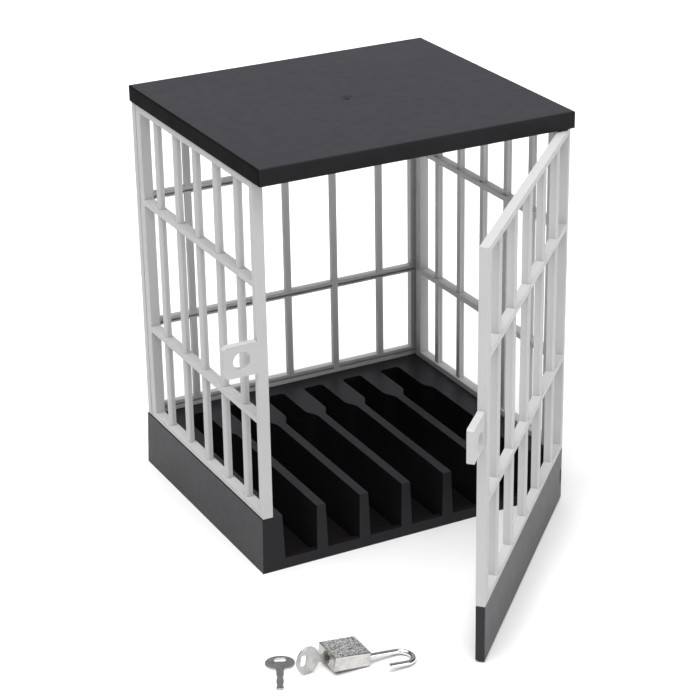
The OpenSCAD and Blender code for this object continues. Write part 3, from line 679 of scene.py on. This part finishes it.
@dataclass
class Cell(SubAssembly):
    """The slotted base, the three barred walls and the roof."""

    body: str = "cell"
    base_edge: float = 0.5 * MM
    wall_edge: float = 0.2 * MM
    upright_below: float = 0.9
    slot_depth: float = 1.2 * MM
    slot_margin: float = 4.0 * MM

    def build(self) -> None:
        """Rounds the base, the walls and the roof."""
        self.ease("base_tray", self.body, Slot.BLACK, Rounding(self.base_edge))
        for wall in ("left_wall", "right_wall", "back_wall"):
            self.ease(wall, self.body, Slot.GREY, Rounding(self.wall_edge))
        self.ease("roof", self.body, Slot.BLACK, Rounding(0.0))

    def dress(self) -> None:
        """Finishes the plastics: the roof's rim matt, and painted shade on the roof's left and right rims
        and down in the phone slots, which get darker, duller copies of the black.
        """
        base = self.made["base_tray_finished"]
        self.paint(base, self.shelf.black, self.shelf.black_slot_shade)
        # Faces down inside the slots take the darker black, painted shade.
        for face in base.data.polygons:
            face.material_index = 1 if self.in_slot(face) else 0
        for wall in ("left_wall", "right_wall", "back_wall"):
            self.paint(self.made[f"{wall}_finished"], self.shelf.grey)
        roof = self.made["roof_finished"]
        self.paint(roof, self.shelf.black, self.shelf.black_edge, self.shelf.black_side_shade)
        # Upright faces facing front or back get the matt rim; those facing left or right get the darker
        # copy, painted shade.
        for face in roof.data.polygons:
            upright = abs(face.normal.z) < self.upright_below
            sideways = abs(face.normal.x) > abs(face.normal.y)
            face.material_index = int(upright) + int(upright and sideways)

    def in_slot(self, face: bpy.types.MeshPolygon) -> bool:
        """Tells whether a face of the base lies down inside it.

        Args:
            face: the face.

        Returns:
            False for the top, the sides, the back and the faces that look out at the front.
        """
        low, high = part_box("base_tray")
        place = face.center
        edge = self.slot_margin
        within = all(low[axis] + edge < place[axis] < high[axis] - edge for axis in (0, 1))
        at_front = face.normal.y < -self.upright_below and place.y < 0
        return within and place.z < high[2] - self.slot_depth and not at_front


@dataclass
class Door(SubAssembly):
    """The barred door and the black kick panel below its bars."""

    body: str = "door"
    grille_edge: float = 0.25 * MM
    panel_edge: float = 0.5 * MM

    def build(self) -> None:
        """Rounds the grille and the kick panel."""
        self.ease("door_grille", self.body, Slot.GREY, Rounding(self.grille_edge))
        self.ease("door_kick_panel", self.body, Slot.BLACK, Rounding(self.panel_edge))

    def dress(self) -> None:
        """Finishes the door's plastics."""
        self.paint(self.made["door_grille_finished"], self.shelf.grey)
        self.paint(self.made["door_kick_panel_finished"], self.shelf.black_panel)


@dataclass
class HingePins(SubAssembly):
    """The two steel pins that the door turns on."""

    def build(self) -> None:
        """Leaves the pins as the frame has them."""

    def dress(self) -> None:
        """Finishes the pins in drawn steel."""
        for pin in ("upper_hinge_pin", "lower_hinge_pin"):
            self.paint_node(pin, self.shelf.steel)


@dataclass
class Padlock(SubAssembly):
    """The padlock with its shackle and the lock work inside it."""

    body: str = "padlock"
    tilt: float = LOCK_TILT
    panel_facing: float = 0.97
    shackle_travel: float = 11.0 * MM
    latch_travel: float = 1.3 * MM

    def build(self) -> None:
        """Smooths the case and the shackle, and winds the two springs."""
        self.ease("padlock_body", self.body, Slot.NICKEL, Rounding(0.0))
        self.ease("padlock_shackle", "shackle", Slot.SHACKLE, Rounding(0.0))
        lean = math.radians(self.tilt)
        along = Vector((math.cos(lean), 0.0, -math.sin(lean)))
        self.wind("shackle_spring", "shackle_pull", along, self.shackle_travel)
        self.wind("latch_spring", "latch_slide", Vector((0.0, 1.0, 0.0)), self.latch_travel)

    def wind(self, node: str, joint: str, axis: Vector, travel: float) -> None:
        """Stands a smooth copy with its own mesh in for a spring's CAD node.

        Args:
            node: the spring's CAD node.
            joint: not used.
            axis: not used.
            travel: not used.
        """
        spring = self.ease(node, self.body, Slot.STEEL, Rounding(0.0))
        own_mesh(spring)

    def dress(self) -> None:
        """Finishes the case with hammered broad faces, and the lock work in steel and brass."""
        case = self.made["padlock_body_finished"]
        self.paint(case, self.shelf.plate, self.shelf.hammered)
        lean = math.radians(self.tilt)
        upward = Vector((math.sin(lean), 0.0, math.cos(lean)))
        for face in case.data.polygons:
            face.material_index = 1 if abs(face.normal.dot(upward)) > self.panel_facing else 0
        self.paint(self.made["padlock_shackle_finished"], self.shelf.shackle)
        for spring in ("shackle_spring", "latch_spring"):
            self.paint(self.made[f"{spring}_finished"], self.shelf.steel)
        for node in ("shackle_spring_cap", "plug_retaining_pin", "lock_latch"):
            self.paint_node(node, self.shelf.steel)
        # The plug and wafers take the darkened brass, painted shade at the plug's face.
        for node in ("lock_plug", "lock_wafers"):
            self.paint_node(node, self.shelf.brass)


@dataclass
class Keys(SubAssembly):
    """The key in the lock and the spare beside it."""

    stamped_edge: float = 0.14 * MM

    def build(self) -> None:
        """Rounds the edges of both stamped keys."""
        self.ease("lock_key", "key", Slot.NICKEL, Rounding(self.stamped_edge, 2))
        self.ease("spare_key", "spare_key", Slot.NICKEL, Rounding(self.stamped_edge, 2))

    def dress(self) -> None:
        """Finishes both keys."""
        for key in ("lock_key", "spare_key"):
            self.paint(self.made[f"{key}_finished"], self.shelf.key_metal)


@dataclass(frozen=True)
class SoftPanel:
    """A square soft light that hangs in the studio."""

    name: str
    place: Triple
    side: float
    watts: float
    colour: Triple = (1.0, 1.0, 1.0)

    def make(self) -> bpy.types.Light:
        """Builds the light.

        Returns:
            The light, ready to be hung.
        """
        panel = bpy.data.lights.new(self.name, "AREA")
        panel.size = self.side
        panel.energy = self.watts
        panel.color = self.colour
        return panel


@dataclass
class Studio:
    """The floor, the light and the camera."""

    floor_side: float = 60.0
    floor_drop: float = 0.05 * MM
    sky: Triple = (0.08, 0.08, 0.083)
    key_from: Triple = (-0.21, -0.23, 0.94)
    key_spread: float = 65.0
    key_strength: float = 5.1
    panels: tuple[SoftPanel, ...] = (
        SoftPanel("back_panel", place=(1.1, 2.3, 1.2), side=2.6, watts=11.0, colour=(0.92, 0.90, 1.0)),
        SoftPanel("top_panel", place=(0.3, 0.9, 2.2), side=1.8, watts=14.0),
        SoftPanel("front_panel", place=(0.7, -2.5, 0.35), side=1.6, watts=22.0),
    )
    lens: float = 114.41
    sensor: float = 36.0
    azimuth: float = 27.605
    elevation: float = 23.866
    roll: float = -0.915
    distance: float = 1335.49 * MM
    aim: Triple = (3.002 * MM, 0.75 * MM, 84.825 * MM)

    def lay_floor(self) -> None:
        """Lays a sheet of pale paper under the object."""
        half = self.floor_side / 2
        corners = [(-half, -half), (half, -half), (half, half), (-half, half)]
        mesh = bpy.data.meshes.new("floor")
        mesh.from_pydata([(x, y, -self.floor_drop) for x, y in corners], [], [(0, 1, 2, 3)])
        mesh.materials.append(StudioPaper().make())
        floor = bpy.data.objects.new("floor", mesh)
        bpy.context.scene.collection.objects.link(floor)

    def hang(self, light: bpy.types.Light, place: Vector, towards: Vector) -> None:
        """Hangs a light, which lights the set but isn't seen in it.

        Args:
            light: the light.
            place: where it hangs.
            towards: the way that it shines.
        """
        lamp = bpy.data.objects.new(light.name, light)
        lamp.location = place
        lamp.visible_camera = False
        lamp.rotation_euler = towards.to_track_quat("-Z", "Y").to_euler()
        bpy.context.scene.collection.objects.link(lamp)

    def light(self) -> None:
        """Sets a dim even surround, a broad soft key high in front, and the panels round the object."""
        world = bpy.data.worlds.new("pale_surround")
        bpy.context.scene.world = world
        world.use_nodes = True
        world.node_tree.nodes["Background"].inputs["Color"].default_value = (*self.sky, 1.0)
        aim = Vector(self.aim)
        key = bpy.data.lights.new("key", "SUN")
        key.energy = self.key_strength
        key.angle = math.radians(self.key_spread)
        self.hang(key, aim + Vector(self.key_from), -Vector(self.key_from))
        for panel in self.panels:
            self.hang(panel.make(), Vector(panel.place), aim - Vector(panel.place))
        bpy.context.scene.view_settings.view_transform = "Standard"

    def set_camera(self) -> None:
        """Places the camera where the photograph was taken from."""
        data = bpy.data.cameras.new("camera")
        data.lens = self.lens
        data.sensor_width = self.sensor
        data.sensor_fit = "HORIZONTAL"
        turn, rise, roll = (math.radians(angle) for angle in (self.azimuth, self.elevation, self.roll))
        level = math.cos(rise)
        back = Vector((-math.sin(turn) * level, -math.cos(turn) * level, math.sin(rise)))
        right = (-back).cross(Vector((0.0, 0.0, 1.0))).normalized()
        above = right.cross(-back)
        rolled_right = math.cos(roll) * right + math.sin(roll) * above
        rolled_above = -math.sin(roll) * right + math.cos(roll) * above
        camera = bpy.data.objects.new("camera", data)
        pose = Matrix((rolled_right, rolled_above, back)).transposed().to_4x4()
        pose.translation = Vector(self.aim) + back * self.distance
        camera.matrix_world = pose
        bpy.context.scene.collection.objects.link(camera)
        bpy.context.scene.camera = camera

    def set_up(self) -> None:
        """Lays the floor, lights the set and places the camera."""
        self.lay_floor()
        self.light()
        self.set_camera()


def write_sizes() -> None:
    """Brings the scene's view layer up to date.
    """
    bpy.context.view_layer.update()


def main() -> None:
    """Loads the frame, then builds, dresses and reports each sub-assembly in order."""
    logging.basicConfig(level=logging.INFO, format="%(message)s")
    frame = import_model()
    shelf = FinishShelf.stocked()
    nodes = frame["nodes"]
    assemblies = (
        Cell(nodes, shelf),
        Door(nodes, shelf),
        HingePins(nodes, shelf),
        Padlock(nodes, shelf),
        Keys(nodes, shelf),
    )
    for assembly in assemblies:
        assembly.build()
        assembly.dress()
        assembly.report()
    Studio().set_up()
    write_sizes()


if __name__ == "__main__":
    main()
